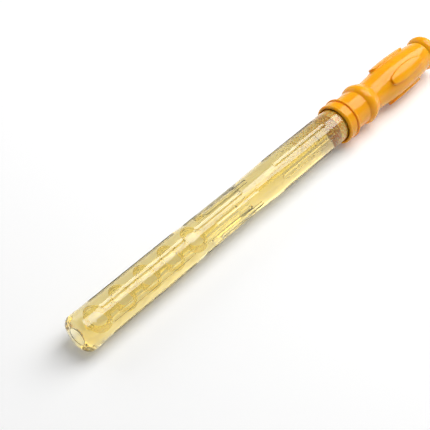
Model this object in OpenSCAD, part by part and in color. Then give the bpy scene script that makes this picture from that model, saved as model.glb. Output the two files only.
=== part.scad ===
// Bubble wand: a clear fluted tube of bubble solution lying on its side, closed by a screw-on
// handle with a barrel grip. The handle carries the ringed blowing wand that hangs in the tube.
// Lengths are in millimetres. The wand's axis lies along X, its handle points to +X, Z is up.

/* [Tube] */
// outer radius of the tube at its plain foot
tube_radius = 12.5; // [12:0.1:13.5]
// thickness of the blown wall
wall = 0.9; // [0.7:0.05:1.1]
// radius of the rounded bottom edge
base_round = 4; // [3:0.25:4.5]
// width of the flat ring that the tube can stand on
foot_ring_width = 2.5; // [1.5:0.1:3.5]
// length of the full-width band above the rounded edge
foot_band_length = 5; // [3:0.5:8]
// height of the dome pressed up into the bottom
push_up_height = 3; // [2:0.25:3.5]
// how much the body steps in above the foot
foot_step_depth = 0.2; // [0.1:0.05:0.4]
// how much slimmer the middle of the tube is than its ends
waist_depth = 0.65; // [0.45:0.05:0.9]
// radius of the rounded shoulder
shoulder_round = 2.5; // [1.5:0.1:2.8]

/* [Flutes] */
// number of flutes around the tube in each section
flute_count = 7; // [5:1:8]
// depth of a flute
flute_depth = 0.6; // [0.4:0.05:0.7]
// radius of the round that forms a flute
flute_tool_radius = 3; // [2.6:0.1:3.4]
// turn of the flutes about the axis, from straight up toward the near side
flute_turn = 9; // [0:1:50]
// plain length below the lower flutes
foot_plain_length = 18; // [14:0.5:26]
// length of the lower flutes
low_flute_length = 73; // [50:1:90]
// plain length between the lower and the middle flutes
low_gap_length = 9; // [6:0.5:14]
// length of the first middle flutes
mid_flute_length = 45; // [30:1:60]
// how far the second middle flutes start above the first
mid_stagger_length = 14; // [8:0.5:20]
// length of the second middle flutes
second_flute_length = 41; // [30:1:60]
// plain length between the middle and the upper flutes
high_gap_length = 22; // [12:0.5:30]
// length of the upper flutes
high_flute_length = 55; // [40:1:70]
// plain length between a flute's end and a change of the tube's width
flute_margin_length = 1.2; // [0.8:0.1:3]
// plain length between the upper flutes and the flat of the shoulder
head_plain_length = 17.5; // [14:0.5:24]

/* [Neck] */
// outer radius of the neck at the root of its thread
neck_radius = 9.4; // [9:0.1:9.7]
// wall of the neck
neck_wall = 1.1; // [0.9:0.05:1.3]
// length of the neck above the shoulder
neck_length = 17; // [14:0.5:20]
// room for the two threads between the neck and the handle's bore
thread_room = 0.9; // [0.8:0.05:1.1]

/* [Collar] */
// how far the collar reaches down over the tube's shoulder
skirt_overlap = 3.2; // [2.8:0.1:5]
// clearance of the collar around the tube
skirt_room = 0.6; // [0.4:0.05:0.8]
// clearance of the collar above the shoulder
skirt_gap = 0.8; // [0.5:0.1:1.2]
// wall of the collar around the tube
skirt_wall = 1.65; // [1.4:0.05:2]
// length of the collar, front lip to the back of its bead
collar_length = 10.8; // [9.6:0.1:13]
// height of the front lip above the collar's band
lip_rise = 0.25; // [0.1:0.05:0.5]
// radius of the rounded front lip
lip_round = 1.5; // [1:0.1:1.8]
// height of the rear bead above the collar's band
bead_rise = 0.65; // [0.3:0.05:0.9]
// radius of the rear bead
bead_round = 1.4; // [1:0.1:1.8]
// radius of the fine groove in front of the bead
fine_groove_radius = 0.55; // [0.3:0.05:0.7]

/* [Handle] */
// wall of the sleeve around the thread
sleeve_wall = 2.7; // [2.2:0.1:3.2]
// length of the sleeve between the collar and the flange's crest
sleeve_length = 19.2; // [17:0.2:22]
// height of the flange above the sleeve
flange_rise = 2.05; // [1.5:0.05:2.5]
// radius of the flange's rounded crest
flange_round = 6.6; // [5:0.1:8]
// length of the flange behind its crest
flange_rear_length = 7; // [5.8:0.1:8]
// height of the flange's rear edge above the slim part
flange_rear_rise = 1.4; // [0.8:0.05:1.8]
// length of the slim part behind the flange
slim_length = 4.2; // [3:0.1:8]
// length of the flare from the slim part
flare_length = 12; // [9:0.5:14]
// steepest slope of the flare
flare_slope = 0.14; // [0.1:0.01:0.18]
// length from the flare to the widest place of the barrel
front_length = 16.5; // [14:0.5:20]
// length from the widest place of the barrel to the waist before the pommel
rear_length = 34.5; // [31:0.5:40]
// bore of the hollow grip
grip_bore = 9; // [8.5:0.1:9.4]
// wall of the barrel between its pads, at its widest place
barrel_wall = 4.6; // [4.2:0.05:5.2]
// wall at the waist before the pommel
waist_wall = 2; // [1.6:0.1:2.6]
// thickness of the web that closes the thread's bore
web_wall = 3; // [2:0.1:4]

/* [Pommel] */
// height of the pommel's crest above the waist
pommel_rise = 2.1; // [1.4:0.1:2.6]
// length of the pommel's rounded side
pommel_length = 9; // [8:0.2:12]
// width of the flat ring around the domed end
end_ring_width = 0.6; // [0.3:0.1:1.5]
// height of the domed end
dome_rise = 1.5; // [1:0.1:2]
// length of the plug that closes the grip
plug_length = 10; // [6:0.5:14]
// wall of the plug
plug_wall = 1.5; // [1.2:0.1:2]
// depth of the plug's hollow in the pommel
hollow_depth = 3; // [1:0.5:5]

/* [Pads] */
// number of raised oval pads around the barrel
pad_count = 4; // [3:1:5]
// length of a pad
pad_length = 37; // [30:0.5:38]
// width of a pad
pad_width = 10.4; // [8:0.2:11]
// radius of the rounded ends of a pad
pad_end_radius = 3.4; // [2.4:0.1:4]
// height of a pad above the barrel
pad_rise = 1.45; // [1:0.05:1.7]
// bend radius of a pad along the grip
pad_arc = 250; // [200:5:320]
// crown radius of a pad across the grip
pad_crown_radius = 10.5; // [9:0.1:14]
// how far the pads sit behind the widest place of the barrel
pad_shift = 4; // [2:0.5:6]
// turn of the pads about the axis, from straight up toward the near side
pad_turn = 43; // [0:1:90]

/* [Wand] */
// radius of the wand's stem
stem_radius = 1.8; // [1.5:0.1:2.2]
// number of blowing rings
ring_count = 5; // [1:1:8]
// clearance of a ring in the neck
ring_room = 0.7; // [0.6:0.05:1.2]
// width of a ring's rim
ring_width = 2.2; // [1.6:0.1:3]
// thickness of a ring
ring_thickness = 3; // [2.4:0.1:3.2]
// depth of the grooves that hold the solution on a ring
ring_notch_depth = 0.35; // [0.2:0.05:0.5]
// distance between neighbouring rings
ring_pitch = 21; // [17:0.5:24]
// gap between the last ring and the bottom's dome
tip_gap = 4.5; // [2:0.5:10]
// radius of the root pressed into the handle
root_radius = 3.5; // [3:0.1:4]
// depth of the root's socket in the handle
root_depth = 11.5; // [8:0.5:15]
// wall of the socket
boss_wall = 1.8; // [1.4:0.1:2.4]

/* [Seal] */
// thickness of the soft washer between the neck and the handle
seal_thickness = 1.5; // [1:0.1:2]
// play of the washer in the handle's bore and around the root
seal_play = 0.3; // [0.2:0.05:0.5]

/* [Solution] */
// room between the solution and the wall
film_gap = 0.05; // [0.02:0.01:0.1]
// room left around the wand in the solution
wand_room = 1.1; // [0.8:0.1:1.4]
// room left between the solution and the rim of the neck
head_room = 0.3; // [0.2:0.1:2]

/* [Hidden] */
$fn = 96;
arc_fn = 1440;
overcut_length = 1;

// stations along the axis, from the ring that the tube can stand on
low_z = foot_plain_length;
low_end = low_z + low_flute_length;
mid_z = low_end + low_gap_length;
second_z = mid_z + mid_stagger_length;
second_end = second_z + second_flute_length;
high_z = second_end + high_gap_length;
high_end = high_z + high_flute_length;
shoulder_z = high_end + head_plain_length;
rim_z = shoulder_z + neck_length;
seat_z = rim_z + seal_thickness;
collar_z = shoulder_z - skirt_overlap;
collar_end = collar_z + collar_length;
flange_z = collar_end + sleeve_length;
flange_end = flange_z + flange_rear_length;
flare_z = flange_end + slim_length;
barrel_z = flare_z + flare_length + front_length;
waist_z = barrel_z + rear_length;
pommel_z = waist_z + pommel_length;
overall = pommel_z + dome_rise;

// tube
band_z = base_round + foot_band_length;
step_length = 1.5;
body_low = tube_radius - foot_step_depth;
body_mid = tube_radius - waist_depth;
body_high = tube_radius - foot_step_depth / 2;
ring_in = tube_radius - base_round - foot_ring_width;
dome_radius = (ring_in * ring_in + push_up_height * push_up_height) / (2 * push_up_height);
dome_z = push_up_height - dome_radius;
flute_step = 360 / flute_count;
flute_lead = flute_step / 4;
flute_half = sqrt(2 * flute_tool_radius * flute_depth - flute_depth * flute_depth);

// handle
neck_bore = neck_radius - neck_wall;
thread_bore = neck_radius + thread_room;
skirt_bore = tube_radius + skirt_room;
collar_radius = skirt_bore + skirt_wall;
lip_radius = collar_radius + lip_rise;
bead_radius = collar_radius + bead_rise;
bead_z = collar_end - bead_round;
sleeve_radius = thread_bore + sleeve_wall;
flange_radius = sleeve_radius + flange_rise;
barrel_radius = grip_bore + barrel_wall;
waist_radius = grip_bore + waist_wall;
pommel_radius = waist_radius + pommel_rise;
pommel_arc = (pommel_length * pommel_length / 4 + pommel_rise * pommel_rise) / (2 * pommel_rise);
// the flare and the barrel's front half are arcs that meet at the steepest slope
flare_arc = flare_length / flare_slope;
front_arc = front_length / flare_slope;
slim_radius = barrel_radius - (flare_arc + front_arc) * (1 - sqrt(1 - flare_slope * flare_slope));
rear_drop = barrel_radius - waist_radius;
rear_arc = (rear_length * rear_length + rear_drop * rear_drop) / (2 * rear_drop);
bend_steps = 12;
boss_radius = root_radius + boss_wall;
boss_end = seat_z + root_depth + boss_wall;
end_radius = waist_radius - end_ring_width;
end_arc = (end_radius * end_radius + dome_rise * dome_rise) / (2 * dome_rise);
pad_radius = barrel_radius + pad_rise;
pad_z = barrel_z + pad_shift;
// a pad's outline is two side arcs that run into two end arcs
pad_centre = pad_length / 2 - pad_end_radius;
pad_side = (pad_centre * pad_centre + pad_width * pad_width / 4 - pad_end_radius * pad_end_radius)
    / (pad_width - 2 * pad_end_radius);
pad_meet = pad_centre * pad_side / (pad_side - pad_end_radius);

// wand
ring_radius = neck_bore - ring_room;
ring_hole = ring_radius - ring_width;
tip_z = push_up_height + wall + tip_gap + ring_radius;
last_ring = tip_z + (ring_count - 1) * ring_pitch;
root_z = rim_z - seal_thickness / 2;
pocket_half = ring_thickness / 2 + wand_room;
pocket_side = ring_radius + wand_room / 2;

axis_height = max(bead_radius, lip_radius, flange_radius, pad_radius, pommel_radius);

// a point of the flare's hollow arc, z past its start
function flare_point(z) = [slim_radius + flare_arc - sqrt(flare_arc * flare_arc - z * z), flare_z + z];

// a point of the barrel's front arc, z before its widest place
function front_point(z) = [barrel_radius - front_arc + sqrt(front_arc * front_arc - z * z), barrel_z - z];

// lays a piece that stands along Z down along X, with its widest ring on the floor
module lay() {
    translate([-overall / 2, 0, axis_height])
        rotate([0, 90, 0])
            children();
}

// body of revolution of the tube, moved in by inset
module tube_body(inset, top_radius, top) {
    low_round = base_round - inset;
    high_round = shoulder_round - inset;
    rotate_extrude() {
        union() {
            polygon([
                [0, inset],
                [tube_radius - base_round, inset],
                [tube_radius - inset, base_round],
                [tube_radius - inset, band_z],
                [body_low - inset, band_z + step_length],
                [body_low - inset, low_end + flute_margin_length],
                [body_mid - inset, mid_z - flute_margin_length],
                [body_mid - inset, second_end + flute_margin_length],
                [body_high - inset, high_z - flute_margin_length],
                [body_high - inset, high_end + flute_margin_length],
                [tube_radius - inset, collar_z],
                [tube_radius - inset, shoulder_z - inset - high_round],
                [tube_radius - inset - high_round, shoulder_z - inset],
                [top_radius, shoulder_z - inset],
                [top_radius, top],
                [0, top]
            ]);
            translate([tube_radius - base_round, base_round])
                circle(low_round);
            translate([tube_radius - inset - high_round, shoulder_z - inset - high_round])
                circle(high_round);
        }
    }
}

// one long round with ball ends, standing on its lower ball's centre
module long_round(radius, length) {
    rotate_extrude() {
        intersection() {
            union() {
                square([radius, length]);
                circle(radius);
                translate([0, length])
                    circle(radius);
            }
            translate([0, -2 * radius])
                square([2 * radius, length + 4 * radius]);
        }
    }
}

// a ring of flutes pressed into a body of the given radius
module flute_ring(start, length, body, turn, grow) {
    for (i = [0 : flute_count - 1])
        rotate([0, 0, turn + i * flute_step])
            translate([body - flute_depth + flute_tool_radius, 0, start + flute_half])
                long_round(flute_tool_radius + grow, length - 2 * flute_half);
}

// presses all flutes: one ring below, two staggered rings in the slim middle, one above
module press_flutes(grow) {
    difference() {
        difference() {
            children();
            flute_ring(low_z, low_flute_length, body_low, flute_lead, grow);
            flute_ring(mid_z, mid_flute_length, body_mid, flute_lead, grow);
            flute_ring(high_z, high_flute_length, body_high, flute_lead, grow);
        }
        flute_ring(second_z, second_flute_length, body_mid, -flute_lead, grow);
    }
}

// turns the tube about its axis, so that its first flute lies flute_turn from straight up
module turn_flutes() {
    rotate([0, 0, 180 + flute_turn - flute_lead])
        children();
}

// room inside the tube, moved in from the wall by gap
module tube_room(gap, top) {
    difference() {
        press_flutes(wall + gap)
            tube_body(wall + gap, neck_bore - gap, top);
        translate([0, 0, dome_z])
            sphere(dome_radius + wall + gap);
    }
}

module tube_shell() {
    color([0.92, 0.9, 0.8, 0.35])
        lay()
            turn_flutes()
                difference() {
                    press_flutes(0)
                        tube_body(0, neck_radius, rim_z);
                    translate([0, 0, dome_z])
                        sphere(dome_radius);
                    tube_room(0, rim_z + overcut_length);
                }
}

module bubble_solution() {
    color([0.86, 0.78, 0.25, 0.6])
        lay()
            difference() {
                turn_flutes()
                    tube_room(film_gap, rim_z - head_room);
                translate([-pocket_half, -pocket_side, tip_z - pocket_side])
                    cube([2 * pocket_half, 2 * pocket_side, last_ring - tip_z + 2 * pocket_side]);
                translate([0, 0, last_ring])
                    cylinder(r = stem_radius + wand_room, h = overall);
                translate([0, 0, root_z - wand_room])
                    cylinder(r = root_radius + wand_room, h = overall);
            }
}

module seal_washer() {
    color([0.95, 0.95, 0.93])
        lay()
            translate([0, 0, rim_z])
                difference() {
                    cylinder(r = thread_bore - seal_play, h = seal_thickness);
                    translate([0, 0, -overcut_length])
                        cylinder(r = root_radius + seal_play, h = seal_thickness + 2 * overcut_length);
                }
}

// a blowing ring standing across the wand, with a groove in each face and in its rim
module blow_ring() {
    mid = (ring_radius + ring_hole) / 2;
    half = ring_thickness / 2;
    rotate([0, 90, 0])
        rotate_extrude()
            polygon([
                [ring_hole, -half],
                [mid - ring_notch_depth, -half],
                [mid, -half + ring_notch_depth],
                [mid + ring_notch_depth, -half],
                [ring_radius, -half],
                [ring_radius, -ring_notch_depth],
                [ring_radius - ring_notch_depth, 0],
                [ring_radius, ring_notch_depth],
                [ring_radius, half],
                [mid + ring_notch_depth, half],
                [mid, half - ring_notch_depth],
                [mid - ring_notch_depth, half],
                [ring_hole, half]
            ]);
}

module wand() {
    color([0.95, 0.95, 0.92, 0.7])
        lay()
            difference() {
                union() {
                    translate([0, 0, tip_z])
                        cylinder(r = stem_radius, h = root_z - tip_z + overcut_length);
                    translate([0, 0, root_z])
                        cylinder(r = root_radius, h = seat_z + root_depth - root_z);
                    for (i = [0 : ring_count - 1])
                        translate([0, 0, tip_z + i * ring_pitch])
                            blow_ring();
                }
                for (i = [0 : ring_count - 1])
                    translate([-ring_radius, 0, tip_z + i * ring_pitch])
                        rotate([0, 90, 0])
                            cylinder(r = ring_hole, h = 2 * ring_radius);
            }
}

// outline of the grip from the collar's lip to the waist before the pommel
module grip_outline() {
    difference() {
        union() {
            translate([0, collar_z])
                square([lip_radius - lip_round, collar_length]);
            translate([lip_radius - lip_round, collar_z + lip_round])
                circle(lip_round);
            translate([0, collar_z + lip_round])
                square([collar_radius, bead_z - collar_z - lip_round]);
            translate([0, bead_z])
                square([bead_radius - bead_round, bead_round]);
            translate([bead_radius - bead_round, bead_z])
                circle(bead_round);
            translate([0, bead_z])
                square([sleeve_radius, flange_z - bead_z]);
            translate([flange_radius - flange_round, flange_z])
                circle(flange_round);
            polygon([
                [0, flange_z],
                [flange_radius - overcut_length / 10, flange_z],
                [slim_radius + flange_rear_rise, flange_end],
                [0, flange_end]
            ]);
            translate([0, flange_z])
                square([slim_radius, flare_z - flange_z]);
            polygon(concat(
                [[0, flare_z]],
                [for (i = [0 : bend_steps]) flare_point(i * flare_length / bend_steps)],
                [for (i = [bend_steps - 1 : -1 : 0]) front_point(i * front_length / bend_steps)],
                [[0, barrel_z]]
            ));
            intersection() {
                translate([0, barrel_z])
                    square([barrel_radius, rear_length]);
                translate([barrel_radius - rear_arc, barrel_z])
                    circle(rear_arc, $fn = arc_fn);
            }
        }
        translate([collar_radius, bead_z - bead_round])
            circle(fine_groove_radius);
    }
}

// outline of one oval pad, drawn lengthwise along Y
module pad_outline() {
    intersection() {
        translate([pad_width / 2 - pad_side, 0])
            circle(pad_side, $fn = 360);
        translate([pad_side - pad_width / 2, 0])
            circle(pad_side, $fn = 360);
        translate([-pad_width, -pad_meet])
            square([2 * pad_width, 2 * pad_meet]);
    }
    translate([0, pad_centre])
        circle(pad_end_radius);
    translate([0, -pad_centre])
        circle(pad_end_radius);
}

// the ring of raised pads, each crowned both ways, with its foot in the barrel's wall
module pads() {
    for (i = [0 : pad_count - 1])
        rotate([0, 0, 180 + pad_turn + i * 360 / pad_count])
            intersection() {
                translate([pad_radius - pad_crown_radius, 0, 0])
                    rotate_extrude()
                        intersection() {
                            translate([0, pad_z - pad_length])
                                square([pad_radius, 2 * pad_length]);
                            translate([pad_crown_radius - pad_arc, barrel_z])
                                circle(pad_arc, $fn = arc_fn);
                        }
                translate([grip_bore + waist_wall / 2, 0, pad_z])
                    rotate([90, 0, 90])
                        linear_extrude(height = pad_radius)
                            pad_outline();
            }
}

module grip() {
    color([1, 0.62, 0.05])
        lay()
            difference() {
                union() {
                    rotate_extrude()
                        intersection() {
                            grip_outline();
                            translate([0, collar_z - overcut_length])
                                square([2 * bead_radius, overall]);
                        }
                    pads();
                }
                translate([0, 0, collar_z - overcut_length])
                    cylinder(r = skirt_bore, h = skirt_overlap + skirt_gap + overcut_length);
                translate([0, 0, collar_z])
                    cylinder(r = thread_bore, h = seat_z - collar_z);
                translate([0, 0, seat_z - overcut_length])
                    cylinder(r = root_radius, h = root_depth + overcut_length);
                difference() {
                    translate([0, 0, seat_z + web_wall])
                        cylinder(r = grip_bore, h = overall);
                    translate([0, 0, seat_z])
                        cylinder(r = boss_radius, h = boss_end - seat_z);
                }
            }
}

module pommel() {
    color([1, 0.6, 0.05])
        lay()
            difference() {
                union() {
                    rotate_extrude()
                        intersection() {
                            union() {
                                translate([0, waist_z])
                                    square([pommel_radius - pommel_arc, pommel_length]);
                                translate([pommel_radius - pommel_arc, waist_z + pommel_length / 2])
                                    circle(pommel_arc, $fn = 360);
                            }
                            translate([0, waist_z])
                                square([pommel_radius + overcut_length, pommel_length]);
                        }
                    translate([0, 0, waist_z - plug_length])
                        cylinder(r = grip_bore, h = plug_length + overcut_length);
                    intersection() {
                        translate([0, 0, overall - end_arc])
                            sphere(end_arc, $fn = 360);
                        translate([0, 0, pommel_z - overcut_length])
                            cylinder(r = end_radius + end_ring_width / 2, h = dome_rise + 2 * overcut_length);
                    }
                }
                translate([0, 0, waist_z - plug_length - overcut_length])
                    cylinder(r = grip_bore - plug_wall, h = plug_length + hollow_depth + overcut_length);
            }
}

tube_shell();
bubble_solution();
seal_washer();
wand();
grip();
pommel();
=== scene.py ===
# %% [markdown]
# # A bubble wand on a white table
#
# The real object is a clear plastic tube full of yellow bubble solution. An orange handle is screwed
# on its neck, and a wand with blowing rings hangs from the handle inside the liquid. The CAD model
# already holds every rigid piece at its true size, so this lesson dresses it: materials, the liquid
# with its foam, the screw threads, a floor, lights and a camera. We load the frame first and keep its
# box, because nothing we add may make the object larger.

# %% Load the frame
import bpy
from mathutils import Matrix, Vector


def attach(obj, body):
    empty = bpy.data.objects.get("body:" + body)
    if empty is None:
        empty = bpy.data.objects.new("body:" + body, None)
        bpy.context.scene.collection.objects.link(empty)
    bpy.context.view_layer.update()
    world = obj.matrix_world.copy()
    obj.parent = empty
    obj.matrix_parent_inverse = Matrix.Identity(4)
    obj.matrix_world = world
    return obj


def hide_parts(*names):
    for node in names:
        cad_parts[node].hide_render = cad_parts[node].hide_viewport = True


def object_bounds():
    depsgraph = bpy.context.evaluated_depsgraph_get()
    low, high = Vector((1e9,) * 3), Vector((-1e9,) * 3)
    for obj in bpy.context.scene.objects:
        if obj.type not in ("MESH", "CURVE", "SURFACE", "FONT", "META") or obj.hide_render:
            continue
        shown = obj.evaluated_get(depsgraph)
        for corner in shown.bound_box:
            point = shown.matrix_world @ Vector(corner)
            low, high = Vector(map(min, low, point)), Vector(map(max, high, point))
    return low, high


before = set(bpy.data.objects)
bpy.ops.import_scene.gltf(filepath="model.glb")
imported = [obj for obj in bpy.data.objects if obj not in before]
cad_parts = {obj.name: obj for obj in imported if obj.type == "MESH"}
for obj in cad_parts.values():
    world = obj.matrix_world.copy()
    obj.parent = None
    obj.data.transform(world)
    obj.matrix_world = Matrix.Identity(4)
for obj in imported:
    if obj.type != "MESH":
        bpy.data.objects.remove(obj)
cad_box = [list(corner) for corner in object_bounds()]

import math
import random

import bpy
import numpy as np
from mathutils import Vector

print("nodes:", sorted(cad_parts))

# %% [markdown]
# ## Where things are
#
# The wand lies along X. Its axis is 15.4 mm above the origin and the tube's standing ring is at the
# low end of X. The part's source gives its stations in millimetres from that ring, so a small helper
# turns a station, a radius and a turn about the axis into a point. A turn of 0 is straight up, and it
# grows toward the camera's side.

# %% Stations to points
AXIS_Z = 0.0154
RING_X = cad_box[0][0]
MM = 0.001
LIP_STATION, LIP_RADIUS = 246.3, 15


def at(station, radius, turn):
    """The point at a station along the wand, a radius from its axis and a turn from straight up."""
    beta = math.radians(90 + turn)
    return Vector((
        RING_X + station * MM,
        radius * MM * math.cos(beta),
        AXIS_Z + radius * MM * math.sin(beta),
    ))


print("the collar's lip is at", [round(v, 4) for v in at(LIP_STATION, LIP_RADIUS, 0)])

# %% [markdown]
# ## The camera
#
# The photograph looks down on the wand from beside its tube. A camera was fitted to the outline of
# the tube and to the circles of the collar and the flange, which gives its place, its direction and a
# lens of 94 mm on a 36 mm sensor. There is no roll, so the track quaternion with Y up is enough.

# %% Camera
CAMERA_PLACE = Vector((-0.4332, -0.3254, 0.5246))
CAMERA_LOOK = Vector((0.5300, 0.4615, -0.7114))
SENSOR_WIDTH_MM, LENS_MM = 36.0, 94.0

bpy.ops.object.camera_add(
    location=CAMERA_PLACE, rotation=CAMERA_LOOK.to_track_quat("-Z", "Y").to_euler()
)
camera = bpy.context.object
camera.name = "photo_camera"
camera.data.sensor_width = SENSOR_WIDTH_MM
camera.data.lens = LENS_MM
bpy.context.scene.camera = camera
to_floor = -CAMERA_PLACE.z / CAMERA_LOOK.z
print("camera looks at", [round(v, 3) for v in CAMERA_PLACE + CAMERA_LOOK * to_floor])

# %% [markdown]
# ## The light
#
# The long pale stripe on the tube and the soft patches on the handle show one large softbox above
# the handle, a little toward the camera. A second, weaker one stands far behind the tube and draws
# the soft edge on its far side. An area lamp is the plain way to make a softbox: its size sets how
# soft the shadow is, and its power is chosen so that a colour renders about as it is written.

# %% Lamps


def softbox(name, place, target, width, length, power):
    """Adds an area lamp that faces a point."""
    facing = (Vector(target) - Vector(place)).to_track_quat("-Z", "Y").to_euler()
    bpy.ops.object.light_add(type="AREA", location=place, rotation=facing)
    lamp = bpy.context.object
    lamp.name = name
    lamp.data.shape = "RECTANGLE"
    lamp.data.size = width
    lamp.data.size_y = length
    lamp.data.energy = power


softbox(
    "softbox_above", place=(0.68, -0.13, 1.06), target=(0.03, 0.0, 0.015),
    width=1.0, length=1.5, power=19.5,
)
softbox(
    "softbox_behind", place=(-0.15, 1.15, 0.65), target=(0.0, 0.0, 0.015),
    width=1.2, length=0.7, power=3.0,
)

# %% [markdown]
# ## Small tools for nodes
#
# The world, the floor and every finish are node trees. Node by node they take many lines, so a few
# helpers add a node, set its plain numbers straight on its sockets and name the sockets of the Mix
# node, which Blender only tells apart by their order.

# %% Node helpers
MIX_A, MIX_B, MIX_OUT = 6, 7, 2
WHITE = (1.0, 1.0, 1.0)


def node(tree, kind, **plain):
    """Adds a shader node and sets its plain inputs."""
    made = tree.nodes.new("ShaderNode" + kind)
    for key, value in plain.items():
        made.inputs[key.replace("_", " ")].default_value = value
    return made


def arithmetic(tree, operation):
    """Adds a Math node."""
    made = node(tree, "Math")
    made.operation = operation
    return made


def colour_mix(tree):
    """Adds a Mix node for colours."""
    made = node(tree, "Mix")
    made.data_type = "RGBA"
    return made


def two_tone(tree, low_at, low, high_at, high):
    """Adds a colour ramp of two colours."""
    made = node(tree, "ValToRGB")
    stops = made.color_ramp.elements
    stops[0].position, stops[0].color = low_at, (*low, 1.0)
    stops[1].position, stops[1].color = high_at, (*high, 1.0)
    return made


print("node helpers ready")

# %% [markdown]
# ## The room
#
# The background is white where the camera, a gloss or the clear tube looks at it, and dimmer where
# it only lights the object, so that the whites don't come from more light. In gloss and through clear
# things the ceiling is greyer than the horizon, as in a studio, because the orange plastic shows no
# white sky on its top. One ramp over the height serves gloss and another clear things.

# %% What each ray sees
ROOM_LIGHT = 0.2

world = bpy.data.worlds.new("studio")
bpy.context.scene.world = world
world.use_nodes = True
room = world.node_tree
room.nodes.clear()
room_path = node(room, "LightPath")
room_place = node(room, "TexCoord")
room_split = node(room, "SeparateXYZ")
gloss_sky = two_tone(room, 0.02, WHITE, 0.3, (0.2, 0.2, 0.2))
clear_sky = two_tone(room, 0.5, WHITE, 0.85, (0.6, 0.6, 0.6))
gloss_or_clear = colour_mix(room)
seen_sky = colour_mix(room)
seen_sky.inputs[MIX_B].default_value = (*WHITE, 1.0)
room.links.new(room_place.outputs["Generated"], room_split.inputs[0])
room.links.new(room_split.outputs["Z"], gloss_sky.inputs["Fac"])
room.links.new(room_split.outputs["Z"], clear_sky.inputs["Fac"])
room.links.new(room_path.outputs["Is Transmission Ray"], gloss_or_clear.inputs["Factor"])
room.links.new(gloss_sky.outputs["Color"], gloss_or_clear.inputs[MIX_A])
room.links.new(clear_sky.outputs["Color"], gloss_or_clear.inputs[MIX_B])
room.links.new(room_path.outputs["Is Camera Ray"], seen_sky.inputs["Factor"])
room.links.new(gloss_or_clear.outputs[MIX_OUT], seen_sky.inputs[MIX_A])
print("sky ramps:", [n.name for n in room.nodes if n.type == "VALTORGB"])

# %% [markdown]
# The room that is seen and the room that only lights are two backgrounds. A Mix Shader takes the seen
# one for camera, glossy and transmission rays. Clear things also need many bounces: each bubble and
# each wall that light passes counts as one.

# %% Seen room and lighting room
BOUNCES, CLEAR_BOUNCES = 28, 40

room_lit = node(room, "Background", Color=(*WHITE, 1.0), Strength=ROOM_LIGHT)
room_seen = node(room, "Background", Strength=1.0)
camera_or_gloss = arithmetic(room, "MAXIMUM")
any_seen = arithmetic(room, "MAXIMUM")
room_mix = node(room, "MixShader")
room_out = node(room, "OutputWorld")
room.links.new(seen_sky.outputs[MIX_OUT], room_seen.inputs["Color"])
room.links.new(room_path.outputs["Is Camera Ray"], camera_or_gloss.inputs[0])
room.links.new(room_path.outputs["Is Glossy Ray"], camera_or_gloss.inputs[1])
room.links.new(camera_or_gloss.outputs[0], any_seen.inputs[0])
room.links.new(room_path.outputs["Is Transmission Ray"], any_seen.inputs[1])
room.links.new(any_seen.outputs[0], room_mix.inputs["Fac"])
room.links.new(room_lit.outputs[0], room_mix.inputs[1])
room.links.new(room_seen.outputs[0], room_mix.inputs[2])
room.links.new(room_mix.outputs[0], room_out.inputs["Surface"])
bpy.context.scene.view_settings.view_transform = "Standard"
bpy.context.scene.cycles.max_bounces = BOUNCES
bpy.context.scene.cycles.transmission_bounces = BOUNCES
bpy.context.scene.cycles.transparent_max_bounces = CLEAR_BOUNCES
print("world:", world.name, "with", len(room.nodes), "nodes")

# %% [markdown]
# ## The floor
#
# The wand really rests on its collar's bead and on the tube's foot, which is 2.9 mm slimmer, so the
# floor is turned by that small slope instead of the object. A plane is enough, and it is so large
# that no view finds its edge.

# %% Floor
FOOT_STATION, BEAD_STATION, FOOT_IS_SLIMMER = 6.5, 255.7, 2.9
FLOOR_SIZE, FLOOR_GAP = 40.0, 0.00005

floor_slope = math.atan2(FOOT_IS_SLIMMER, BEAD_STATION - FOOT_STATION)
bpy.ops.object.select_all(action="DESELECT")
bpy.ops.mesh.primitive_plane_add(size=FLOOR_SIZE)
floor = bpy.context.object
floor.name = "floor"
floor.rotation_euler = (0.0, floor_slope, 0.0)
floor.location = (RING_X + BEAD_STATION * MM, 0.0, -FLOOR_GAP)
bpy.ops.object.transform_apply(location=True, rotation=True, scale=True)
print("floor slope in degrees:", round(math.degrees(floor_slope), 3))

# %% [markdown]
# The floor's paper is white and takes the shadow. A little light of its own, seen only by the camera,
# by gloss and through the clear tube, lifts it to the photograph's white. It grows with the distance,
# where the lamps no longer reach, so that the paper runs into the white room without an edge.

# %% White paper
PAPER_GREY, GLOW_THROUGH_TUBE = 0.88, 0.18

paper = bpy.data.materials.new("white_paper")
paper.use_nodes = True
sheet = paper.node_tree
sheet.nodes.clear()
sheet_path = node(sheet, "LightPath")
sheet_place = node(sheet, "TexCoord")
sheet_far = node(sheet, "VectorMath")
sheet_far.operation = "LENGTH"
sheet_glow = node(sheet, "MapRange", From_Min=0.3, From_Max=2.0, To_Min=0.13, To_Max=1.0)
sheet_glow.interpolation_type = "SMOOTHSTEP"
sheet_seen = arithmetic(sheet, "MAXIMUM")
sheet_level = arithmetic(sheet, "MULTIPLY")
sheet_sum = arithmetic(sheet, "MULTIPLY_ADD")
sheet_sum.inputs[1].default_value = GLOW_THROUGH_TUBE
sheet.links.new(sheet_place.outputs["Object"], sheet_far.inputs[0])
sheet.links.new(sheet_far.outputs["Value"], sheet_glow.inputs["Value"])
sheet.links.new(sheet_path.outputs["Is Camera Ray"], sheet_seen.inputs[0])
sheet.links.new(sheet_path.outputs["Is Glossy Ray"], sheet_seen.inputs[1])
sheet.links.new(sheet_seen.outputs[0], sheet_level.inputs[0])
sheet.links.new(sheet_glow.outputs["Result"], sheet_level.inputs[1])
sheet.links.new(sheet_path.outputs["Is Transmission Ray"], sheet_sum.inputs[0])
sheet.links.new(sheet_level.outputs[0], sheet_sum.inputs[2])

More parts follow.
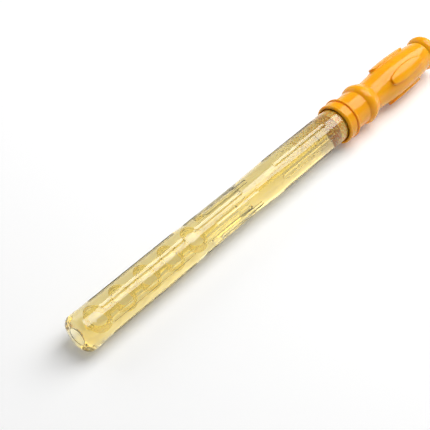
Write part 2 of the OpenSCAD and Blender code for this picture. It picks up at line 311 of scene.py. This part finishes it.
paper_matt = node(sheet, "BsdfDiffuse", Color=(PAPER_GREY, PAPER_GREY, PAPER_GREY, 1.0))
paper_light = node(sheet, "Emission")
paper_both = node(sheet, "AddShader")
paper_out = node(sheet, "OutputMaterial")
sheet.links.new(sheet_sum.outputs[0], paper_light.inputs["Strength"])
sheet.links.new(paper_matt.outputs[0], paper_both.inputs[0])
sheet.links.new(paper_light.outputs[0], paper_both.inputs[1])
sheet.links.new(paper_both.outputs[0], paper_out.inputs["Surface"])
floor.data.materials.append(paper)
print("floor finish:", floor.data.materials[0].name)

# %% [markdown]
# ## A shared effect: moulded skin
#
# Injected and blown plastic is never quite even. Broad waves come from shrinking and a fine peel from
# the mould's finish. The plastics and the washer's foam use the same effect, so it is a node group
# with named inputs. It puts out a height for a Bump node and a blotch between 0 and 1 for colour and
# roughness.

# %% Moulded skin group
skin = bpy.data.node_groups.new("moulded_skin", "ShaderNodeTree")
for socket in ("Wave scale", "Peel scale", "Peel share"):
    skin.interface.new_socket(socket, in_out="INPUT", socket_type="NodeSocketFloat")
for socket in ("Height", "Blotch"):
    skin.interface.new_socket(socket, in_out="OUTPUT", socket_type="NodeSocketFloat")
skin_in = skin.nodes.new("NodeGroupInput")
skin_out = skin.nodes.new("NodeGroupOutput")
skin_place = node(skin, "TexCoord")
skin_wave = node(skin, "TexNoise", Detail=2.0)
skin_peel = node(skin, "TexNoise", Detail=3.0)
skin_mix = node(skin, "Mix")
skin.links.new(skin_place.outputs["Object"], skin_wave.inputs["Vector"])
skin.links.new(skin_place.outputs["Object"], skin_peel.inputs["Vector"])
skin.links.new(skin_in.outputs["Wave scale"], skin_wave.inputs["Scale"])
skin.links.new(skin_in.outputs["Peel scale"], skin_peel.inputs["Scale"])
skin.links.new(skin_in.outputs["Peel share"], skin_mix.inputs["Factor"])
skin.links.new(skin_wave.outputs["Fac"], skin_mix.inputs["A"])
skin.links.new(skin_peel.outputs["Fac"], skin_mix.inputs["B"])
skin.links.new(skin_mix.outputs["Result"], skin_out.inputs["Height"])
skin.links.new(skin_wave.outputs["Fac"], skin_out.inputs["Blotch"])
print("group:", skin.name)

# %% [markdown]
# ## Materials start here
#
# Every finish begins with one Principled shader. The first helper makes the material and hands back
# the pieces that the finish then builds on. Two more put the moulded skin into it and turn its height
# into a bump, and the last one gives a CAD node its finish.

# %% Material helpers


def new_finish(name, **plain):
    """A material with one Principled shader, its plain values set on the sockets."""
    made = bpy.data.materials.new(name)
    made.use_nodes = True
    shader = made.node_tree.nodes["Principled BSDF"]
    for key, value in plain.items():
        shader.inputs[key.replace("_", " ")].default_value = value
    return made, made.node_tree, shader


def moulded(tree, wave, peel, share):
    """Adds the moulded skin with its own scales."""
    made = node(tree, "Group")
    made.node_tree = skin
    made.inputs["Wave scale"].default_value = wave
    made.inputs["Peel scale"].default_value = peel
    made.inputs["Peel share"].default_value = share
    return made


def bumped(tree, shader, surface, strength, distance):
    """Bumps a shader by the height of its moulded skin."""
    made = node(tree, "Bump", Strength=strength, Distance=distance)
    tree.links.new(surface.outputs["Height"], made.inputs["Height"])
    tree.links.new(made.outputs["Normal"], shader.inputs["Normal"])
    return made


def dress(name, finish):
    """Gives a CAD node one finish."""
    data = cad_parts[name].data
    data.materials.clear()
    data.materials.append(finish)


print("material helpers ready")

# %% [markdown]
# ## The orange plastic
#
# The handle is glossy moulded plastic that lets some light in, so its colour is a warm orange. In the
# corners and creases, which an ambient occlusion mask finds, the colour is painted a deeper red as
# painted shade. The gloss changes a little with the moulded skin, and the pads' edges are soft.
# The CAD edges are sharp, and rounding them in the mesh would change the frame, so a Bevel node
# rounds the shading only.

# %% Orange plastic
SHADE_SAMPLES = 8
PAINTED_SHADE_REACH, EDGE_ROUND = 0.012, 0.0013

orange, tree, shader = new_finish(
    "orange_plastic", IOR=1.5, Specular_IOR_Level=0.3,
    Subsurface_Weight=0.5, Subsurface_Radius=(1.0, 0.4, 0.03), Subsurface_Scale=0.003,
)
surface = moulded(tree, wave=60.0, peel=900.0, share=0.3)
tint = two_tone(tree, 0.35, (0.97, 0.39, 0.004), 0.65, (0.99, 0.42, 0.005))
# Painted shade: the ambient occlusion mask mixes the base colour toward a deeper red in corners and
# creases.
crease_shade_mask = node(tree, "AmbientOcclusion", Distance=PAINTED_SHADE_REACH)
crease_shade_mask.samples = SHADE_SAMPLES
crease_shade_mask.only_local = True
painted_crease_shade = colour_mix(tree)
painted_crease_shade.inputs[MIX_A].default_value = (0.92, 0.26, 0.002, 1.0)
gloss = node(tree, "MapRange", To_Min=0.10, To_Max=0.18)
edges = node(tree, "Bevel", Radius=EDGE_ROUND)
edges.samples = SHADE_SAMPLES
bump = bumped(tree, shader, surface, strength=0.12, distance=0.0004)
tree.links.new(edges.outputs["Normal"], bump.inputs["Normal"])
tree.links.new(surface.outputs["Blotch"], tint.inputs["Fac"])
tree.links.new(tint.outputs["Color"], painted_crease_shade.inputs[MIX_B])
tree.links.new(crease_shade_mask.outputs["AO"], painted_crease_shade.inputs["Factor"])
tree.links.new(painted_crease_shade.outputs[MIX_OUT], shader.inputs["Base Color"])
tree.links.new(surface.outputs["Blotch"], gloss.inputs["Value"])
tree.links.new(gloss.outputs["Result"], shader.inputs["Roughness"])
dress("grip", orange)
dress("pommel", orange)
print("orange plastic on the grip and the pommel")

# %% [markdown]
# ## The clear tube
#
# The tube is blown from clear plastic, so its wall is smooth, very glossy and slightly wavy. The CAD
# solid is a real shell with an outer and an inner face, which is just what a glass shader needs. The
# real plastic has an index of about 1.57; the lower one is chosen for the photograph's look.

# %% Clear plastic
clear, tree, shader = new_finish(
    "clear_plastic", Transmission_Weight=1.0, IOR=1.4, Roughness=0.02, Base_Color=(*WHITE, 1.0)
)
surface = moulded(tree, wave=90.0, peel=500.0, share=0.1)
bumped(tree, shader, surface, strength=0.05, distance=0.0005)
dress("tube_shell", clear)
print("clear plastic on the tube")

# %% [markdown]
# ## The wand
#
# The wand hangs in the liquid and can hardly be told from it there, so it is taken to be clear plastic
# with the liquid's own tint. In the liquid it bends light only a little, so it has a low index, and a
# thin clear coat gives it a gloss in air.

# %% Wand
wand_clear, tree, shader = new_finish(
    "yellow_clear_plastic", Transmission_Weight=0.95, IOR=1.08, Roughness=0.0,
    Base_Color=(0.97, 0.89, 0.5, 1.0), Coat_Weight=0.12, Coat_IOR=1.5, Coat_Roughness=0.05,
)
surface = moulded(tree, wave=200.0, peel=900.0, share=0.3)
bumped(tree, shader, surface, strength=0.03, distance=0.0002)
dress("wand", wand_clear)
print("yellow clear plastic on the wand")

# %% [markdown]
# ## The washer
#
# The washer that seals the neck is white closed foam: matt, with a fine grain that a strong share of
# peel gives.

# %% Washer
foam, tree, shader = new_finish("white_foam", Roughness=0.8)
surface = moulded(tree, wave=300.0, peel=3000.0, share=0.8)
tint = two_tone(tree, 0.0, (0.84, 0.84, 0.81), 1.0, (0.92, 0.92, 0.90))
bumped(tree, shader, surface, strength=0.5, distance=0.0003)
tree.links.new(surface.outputs["Blotch"], tint.inputs["Fac"])
tree.links.new(tint.outputs["Color"], shader.inputs["Base Color"])
dress("seal_washer", foam)
print("foam on the washer")

# %% [markdown]
# ## The liquid
#
# The solution fills the tube and takes the shape of its inside, flutes and all. The CAD solid leaves
# a room around the wand, which would show, so a full one replaces it. We draw half of its outline,
# turn it about the axis, and then press the flutes into it: each vertex moves in to the round that
# the mould presses. The fill reaches half-way into the wall, so that no film of air shows between.
# The outline runs from the dome in the bottom over the foot, the body and the shoulder to the neck.

# %% Liquid outline
HALF_WALL = 0.45
DOME_CENTRE, DOME_RADIUS, DOME_RIM, DOME_STEPS = -4.5, 7.5 + HALF_WALL, 6.22, 14
FOOT_CENTRE, FOOT_RADIUS, FOOT_ROUND = 4.0, 8.5, 3.55
SHOULDER_CENTRE, SHOULDER_RADIUS, SHOULDER_ROUND = 247.0, 10.0, 2.05
ROUND_STEPS = 12
BODY_STATIONS = [4.0, 9.0, 10.5, 92.2, 98.8, 156.2, 175.8, 233.2, 246.3, 247.0]
BODY_RADII = [12.5, 12.5, 12.3, 12.3, 11.85, 11.85, 12.4, 12.4, 12.5, 12.5]
NECK = [
    (249.05, 9.4), (249.3, 8.85), (252.0, 8.85), (258.0, 8.85), (265.0, 8.85),
    (266.0, 8.4), (266.1, 4.0), (266.1, 0.0),
]

outline = []
for i in range(DOME_STEPS + 1):
    r = DOME_RIM * i / DOME_STEPS
    outline.append((DOME_CENTRE + math.sqrt(DOME_RADIUS ** 2 - r ** 2), r))
outline += [(HALF_WALL, 6.6), (HALF_WALL, 7.5), (HALF_WALL, FOOT_RADIUS)]
for i in range(1, ROUND_STEPS + 1):
    a = math.radians(90 * i / ROUND_STEPS)
    outline.append((FOOT_CENTRE - FOOT_ROUND * math.cos(a), FOOT_RADIUS + FOOT_ROUND * math.sin(a)))
for s in range(5, 247):
    outline.append((float(s), float(np.interp(s, BODY_STATIONS, BODY_RADII)) - HALF_WALL))
for i in range(ROUND_STEPS + 1):
    a = math.radians(90 * i / ROUND_STEPS)
    outline.append((
        SHOULDER_CENTRE + SHOULDER_ROUND * math.sin(a),
        SHOULDER_RADIUS + SHOULDER_ROUND * math.cos(a),
    ))
outline += NECK
print("outline points:", len(outline))

# %% [markdown]
# A lathe would make this shape: the half outline goes once round the axis, which a Screw modifier
# without a rise does. The Spin operator would do it too, but it puts its edges and faces in another
# order at each run, and then the froth's seeded roughness falls on other points. The froth in the neck
# and the threads are carried round the axis later, so the steps are helpers.

# %% Turn the outline
LATHE_STEPS, WELD = 280, 0.000004
AXIS = Vector((0.0, 0.0, AXIS_Z))


def select_only(piece):
    """Selects one object and makes it the active one."""
    bpy.ops.object.select_all(action="DESELECT")
    piece.select_set(True)
    bpy.context.view_layer.objects.active = piece


def add_mesh(name, points, lines, faces):
    """Adds an object from points with lines or faces between them."""
    mesh = bpy.data.meshes.new(name)
    mesh.from_pydata(points, lines, faces)
    piece = bpy.data.objects.new(name, mesh)
    bpy.context.scene.collection.objects.link(piece)
    return piece


def carried_round(name, profile, lines, turns, rise, steps):
    """Carries a profile of stations and radii round the wand's axis while it rises along it."""
    piece = add_mesh(name, [at(s, r, 0.0) - AXIS for s, r in profile], lines, [])
    select_only(piece)
    screw = piece.modifiers.new("carry_round", "SCREW")
    screw.axis = "X"
    screw.angle = 2 * math.pi * turns
    screw.screw_offset = rise * MM
    screw.steps = steps
    screw.render_steps = steps
    screw.use_merge_vertices = True
    screw.merge_threshold = WELD
    bpy.ops.object.modifier_apply(modifier="carry_round")
    piece.location = AXIS
    bpy.ops.object.transform_apply(location=True, rotation=True, scale=True)
    return piece


def turned(name, half, steps):
    """Turns a half outline once round the axis and stays in edit mode with all selected."""
    lines = [(i, i + 1) for i in range(len(half) - 1)]
    piece = carried_round(name, half, lines, turns=1, rise=0.0, steps=steps)
    bpy.ops.object.mode_set(mode="EDIT")
    bpy.ops.mesh.select_all(action="SELECT")
    bpy.ops.mesh.normals_make_consistent(inside=False)
    return piece


fill = turned("solution_fill", outline, LATHE_STEPS)
bpy.ops.object.mode_set(mode="OBJECT")
print("turned:", len(fill.data.vertices), "vertices")

# %% [markdown]
# The flutes come in four rings. Each ring gives its start, its length, the tube's radius there and
# whether it stands between the others. A flute is a long round with ball ends, so near its ends the
# pressing radius shrinks as a ball's does.

# %% Press the flutes
FLUTE_COUNT, FLUTE_DEPTH, FLUTE_TOOL, FLUTE_TURN = 7, 0.6, 3.0, 9.0
FLUTE_HALF = math.sqrt(2 * FLUTE_TOOL * FLUTE_DEPTH - FLUTE_DEPTH ** 2)
WALL_FROM, LEAST_RADIUS = 11.0, 1.0
RINGS = [
    (18.0, 73.0, 12.3, 0.0), (100.0, 45.0, 11.85, 0.0),
    (114.0, 41.0, 11.85, 0.5), (177.0, 55.0, 12.4, 0.0),
]

co = np.empty(len(fill.data.vertices) * 3)
fill.data.vertices.foreach_get("co", co)
co = co.reshape(-1, 3)
station = (co[:, 0] - RING_X) / MM
radius = np.hypot(co[:, 1], co[:, 2] - AXIS_Z) / MM
turn = np.degrees(np.arctan2(co[:, 2] - AXIS_Z, co[:, 1])) - 90.0
pressed = radius.copy()
step = 360.0 / FLUTE_COUNT
for start, length, body, lead in RINGS:
    away = np.mod(turn - FLUTE_TURN - lead * step + step / 2, step) - step / 2
    before = start + FLUTE_HALF - station
    behind = station - (start + length - FLUTE_HALF)
    beyond = np.maximum(np.maximum(before, behind), 0.0)
    tool = np.sqrt(np.maximum((FLUTE_TOOL + HALF_WALL) ** 2 - beyond ** 2, 0.0))
    centre = body - FLUTE_DEPTH + FLUTE_TOOL
    side = centre * np.sin(np.radians(away))
    inside = np.abs(side) < tool
    face = centre * np.cos(np.radians(away)) - np.sqrt(np.maximum(tool ** 2 - side ** 2, 0.0))
    pressed = np.where(inside, np.minimum(pressed, np.maximum(face, LEAST_RADIUS)), pressed)
share = np.where(radius > WALL_FROM, pressed / np.maximum(radius, 1e-6), 1.0)
co[:, 1] *= share
co[:, 2] = AXIS_Z + (co[:, 2] - AXIS_Z) * share
fill.data.vertices.foreach_set("co", co.ravel())
fill.data.update()
print("pressed vertices:", int((share < 0.9999).sum()))

# %% [markdown]
# ## The foam
#
# The handle's end lies a little higher, so foam gathers there: fine clear bubbles along the top of the
# tube and thick froth in the neck. A clear bubble is a hole in the liquid, so its faces look into the
# hole, which is the liquid's outside. Froth is so fine that it only shows as a pale grain, so its
# balls are solid. One small ball is modelled and copied, and a seeded chance gives sizes and places.

# %% One ball
BALL_GAP, TRIES_PER_BALL = 0.03, 12

bpy.ops.object.select_all(action="DESELECT")
bpy.ops.mesh.primitive_ico_sphere_add(subdivisions=2, radius=1.0)
ball = bpy.context.object
ball_points = np.array([v.co[:] for v in ball.data.vertices])
ball_faces = [tuple(p.vertices[:]) for p in ball.data.polygons]
bpy.data.objects.remove(ball)
chance = random.Random(7)
balls_placed = []


def free_place(middle, size):
    """Says whether a ball of this size keeps clear of every ball that is already placed."""
    return all(
        (middle - other).length > (size + other_size + BALL_GAP) * MM
        for other, other_size in balls_placed
    )


def scatter(name, count, choose, hollow):
    """Copies the ball to places that choose() gives; the faces of hollow ones look inward."""
    points, faces = [], []
    for _ in range(count * TRIES_PER_BALL):
        if len(points) == count:
            break
        middle, size = choose()
        if not free_place(middle, size):
            continue
        base = len(points) * len(ball_points)
        points.append(np.array(middle) + ball_points * size * MM)
        for corners_of_face in ball_faces:
            order = reversed(corners_of_face) if hollow else corners_of_face
            faces.append(tuple(v + base for v in order))
        balls_placed.append((middle, size))
    print(name, len(points), "balls")
    return add_mesh(name, np.concatenate(points).tolist(), [], faces)


print("one ball:", len(ball_points), "points")

# %% [markdown]
# Loose froth floats as a layer under the tube's top. It is thick and wide at the neck and thins toward
# the foot, so the chance is bent by powers: most balls fall near the neck and far round the wall.

# %% Loose froth
FOAM_FROM, FROTH_LENGTH, FROTH_COUNT = 246.0, 44.0, 620


def froth_place():
    """A place in the froth: a layer under the tube's top that thins toward the foot."""
    size = 0.35 + 0.35 * chance.random()
    back = chance.random() ** 1.6
    reach = 32.0 + 150.0 * (1.0 - back) ** 6
    depth = 2.5 * (1.0 - back) ** 2 * chance.random()
    side_turn = chance.gauss(-8.0, reach / 2)
    return at(FOAM_FROM - FROTH_LENGTH * back, 11.3 - size - depth, side_turn), size


froth = scatter("froth", FROTH_COUNT, froth_place, False)

# %% [markdown]
# In the neck the froth is packed, which no number of loose balls shows well. There it is one body with
# a hollow front toward the liquid, turned like the fill. It is then subdivided and its points are moved
# by a seeded chance, so that its face is as rough as foam.

# %% Froth in the neck
FRONT = [(243.4, 0.0), (242.6, 4.5), (241.2, 7.5), (239.9, 10.2), (239.5, 11.25)]
SIDE = [(239.5 + 0.75 * i, 11.3) for i in range(1, 10)]
BACK = [(248.3, 10.4), (248.5, 8.0), (262.0, 8.0), (262.0, 0.0)]
PLUG_STEPS, PLUG_ROUGHNESS, PLUG_SEED = 80, 0.00022, 3

plug = turned("froth_plug", FRONT + SIDE + BACK, PLUG_STEPS)
bpy.ops.mesh.vertices_smooth(factor=0.3, repeat=1)
bpy.ops.mesh.subdivide(number_cuts=1)
bpy.ops.transform.vertex_random(offset=PLUG_ROUGHNESS, uniform=1.0, normal=0.0, seed=PLUG_SEED)
bpy.ops.object.mode_set(mode="OBJECT")
print("froth in the neck:", len(plug.data.polygons), "faces")

# %% [markdown]
# The clear bubbles are the larger ones that cling to the wall under the tube's top, where they rise to
# when the wand lies down. They reach farther toward the foot than the froth.

# %% Clear bubbles
BUBBLE_LENGTH, BUBBLE_COUNT = 60.0, 240


def bubble_place():
    """A place for a clear bubble close under the wall of the tube's top."""
    size = 0.3 + 0.5 * chance.random() ** 2.0
    along = FOAM_FROM - BUBBLE_LENGTH * chance.random() ** 1.6
    return at(along, 11.2 - size, chance.gauss(-5.0, 32.0)), size


bubbles = scatter("bubbles", BUBBLE_COUNT, bubble_place, True)

# %% [markdown]
# ## The liquid's colour
#
# The liquid is clear and only takes blue out of the light, more of it the longer the way, so its
# colour is an absorption inside and not a paint on its face. That is why its thin edges are bright
# yellow and its middle olive.

# %% Solution
solution, tree, shader = new_finish(
    "yellow_solution", Transmission_Weight=1.0, IOR=1.27, Roughness=0.0, Base_Color=(*WHITE, 1.0)
)
absorption = node(tree, "VolumeAbsorption", Color=(0.95, 0.81, 0.13, 1.0), Density=54.0)
tree.links.new(absorption.outputs["Volume"], tree.nodes["Material Output"].inputs["Volume"])
for piece in (fill, bubbles):
    piece.data.materials.append(solution)
print("the solution lets red through and stops blue")

# %% [markdown]
# ## The froth's colour
#
# Froth is a crowd of bubble walls, which throw light back much as a powder does. Its grain is a
# Voronoi cell pattern about as fine as its balls, so that neighbours differ in amber and yellow. Toward
# the collar the colour is painted more and more orange: a painted glow of the handle's orange light.

# %% Froth finish
CELLS_PER_METRE = 900.0
COLLAR_GLOW_FROM, COLLAR_GLOW_TO = RING_X + 232.0 * MM, RING_X + 248.0 * MM

froth_skin, tree, shader = new_finish("froth", Roughness=0.35, Specular_IOR_Level=0.2)
place = node(tree, "TexCoord")
cells = node(tree, "TexVoronoi", Scale=CELLS_PER_METRE)
cell_values = node(tree, "SeparateColor")
axes = node(tree, "SeparateXYZ")
# Painted light: toward the collar the froth's colour is pushed to orange, a painted glow of the
# handle's light.
painted_collar_glow = node(
    tree, "MapRange", From_Min=COLLAR_GLOW_FROM, From_Max=COLLAR_GLOW_TO, To_Min=-0.1, To_Max=0.6
)
grain = arithmetic(tree, "ADD")
tint = two_tone(tree, 0.0, (1.0, 0.58, 0.05), 0.75, (1.0, 0.82, 0.20))
# The orange stop at 0.9 is reached mostly where the painted glow near the collar adds to the grain.
tint.color_ramp.elements.new(0.9).color = (1.0, 0.45, 0.01, 1.0)
tree.links.new(place.outputs["Object"], cells.inputs["Vector"])
tree.links.new(cells.outputs["Color"], cell_values.inputs["Color"])
tree.links.new(place.outputs["Object"], axes.inputs[0])
tree.links.new(axes.outputs["X"], painted_collar_glow.inputs["Value"])
tree.links.new(cell_values.outputs["Red"], grain.inputs[0])
tree.links.new(painted_collar_glow.outputs["Result"], grain.inputs[1])
tree.links.new(grain.outputs[0], tint.inputs["Fac"])
tree.links.new(tint.outputs["Color"], shader.inputs["Base Color"])
for piece in (froth, plug):
    piece.data.materials.append(froth_skin)
print("froth finish on", froth.name, "and", plug.name)

# %% [markdown]
# ## One liquid
#
# The froth and the bubbles join the fill, because they are one liquid that stays in the tube. The
# joined piece stands for the CAD liquid and rides on the tube.

# %% Join the liquid
FILL_SMOOTH_ANGLE = math.radians(24)

bpy.ops.object.select_all(action="DESELECT")
for piece in (bubbles, froth, plug, fill):
    piece.select_set(True)
bpy.context.view_layer.objects.active = fill
bpy.ops.object.join()
bpy.ops.object.shade_smooth_by_angle(angle=FILL_SMOOTH_ANGLE)
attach(fill, "tube_body")
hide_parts("bubble_solution")
print("the fill has", len(fill.data.polygons), "faces and rides on the tube")

# %% [markdown]
# ## The threads
#
# The neck carries a right-hand screw thread and the handle's bore its partner, both left out of the
# solids. A thread is one ridge profile carried round the axis while it climbs, which the helper for the
# fill does with a rise. The two ridges stand half a pitch apart, so they mesh without touching.

# %% Threads
PITCH, TURNS, STEPS_PER_TURN = 4.0, 2.5, 64
ROOT_HALF, CREST_HALF = 0.95, 0.45
THREAD_SMOOTH_ANGLE = math.radians(30)


def thread(name, start, root, crest, finish, body):
    """A right-hand ridge from a root radius to a crest radius, starting at a station."""
    profile = [
        (start - ROOT_HALF, root), (start - CREST_HALF, crest),
        (start + CREST_HALF, crest), (start + ROOT_HALF, root),
    ]
    ridge = carried_round(
        name, profile, [(0, 1), (1, 2), (2, 3), (3, 0)],
        turns=TURNS, rise=PITCH * TURNS, steps=int(STEPS_PER_TURN * TURNS),
    )
    bpy.ops.object.mode_set(mode="EDIT")
    bpy.ops.mesh.select_all(action="SELECT")
    bpy.ops.mesh.fill_holes(sides=4)
    bpy.ops.mesh.normals_make_consistent(inside=False)
    bpy.ops.object.mode_set(mode="OBJECT")
    bpy.ops.object.shade_smooth_by_angle(angle=THREAD_SMOOTH_ANGLE)
    ridge.data.materials.append(finish)
    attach(ridge, body)
    return ridge


neck_thread = thread("neck_thread", 253.5, 9.3, 10.1, clear, "tube_body")
bore_thread = thread("bore_thread", 255.5, 10.4, 9.6, orange, "handle")
print("thread faces:", len(neck_thread.data.polygons), len(bore_thread.data.polygons))
